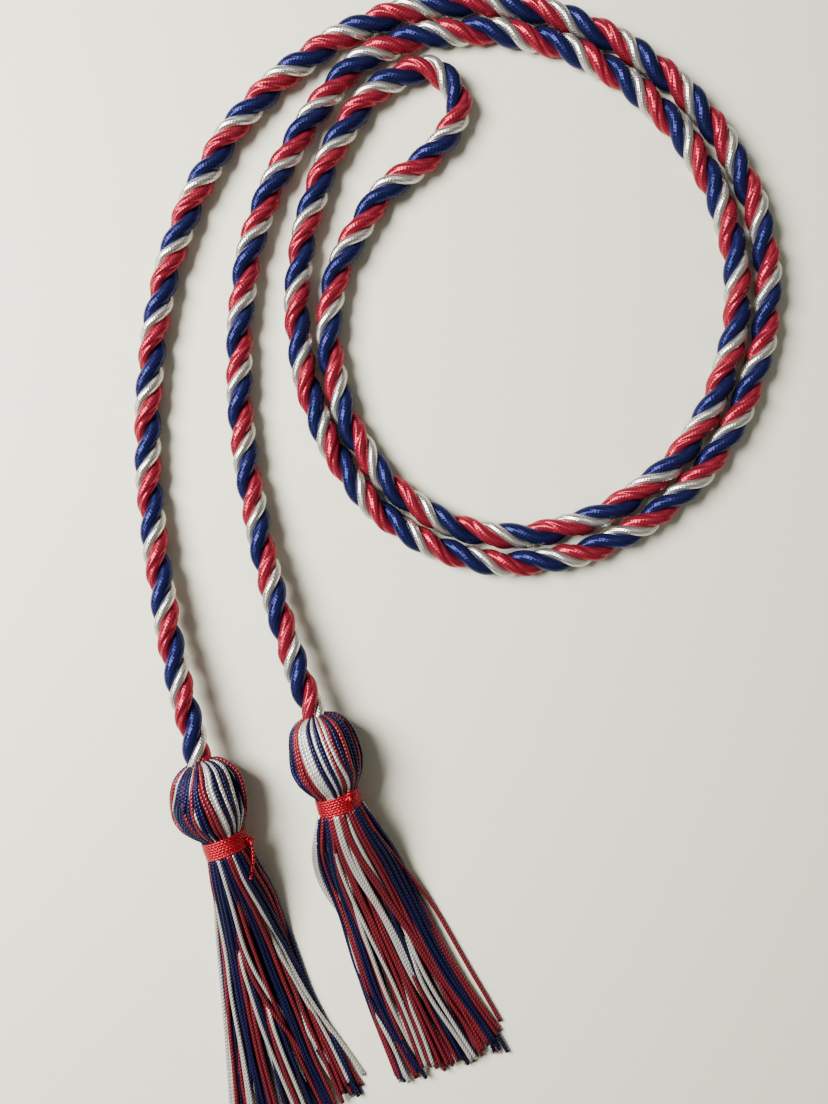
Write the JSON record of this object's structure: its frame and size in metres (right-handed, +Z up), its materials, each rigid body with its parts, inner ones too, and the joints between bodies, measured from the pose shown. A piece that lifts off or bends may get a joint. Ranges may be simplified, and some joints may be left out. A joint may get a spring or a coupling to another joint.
{
  "type": "honor cord",
  "caption": "Twisted three-colour rope folded once and laid flat as a double loop, with a bulb-headed fringed tassel bound with thread on each end.",
  "frame": {"origin": "on the surface that the cord lies on, under the middle of the box round the two tassels and their bands", "axes": "+Z up from the surface, +Y from the tassels towards the loop, +X to the right as seen from above with the loop at the top"},
  "size_m": [0.1807, 0.3229, 0.019],
  "materials": {
    "blue_rayon": "satin",
    "red_rayon": "satin",
    "white_rayon": "satin"
  },
  "bodies": {
    "root": {"cord": "blue_rayon", "tassel_left": "red_rayon", "tassel_right": "red_rayon", "neck_band_left": "red_rayon", "neck_band_right": "red_rayon"}
  },
  "joints": []
}
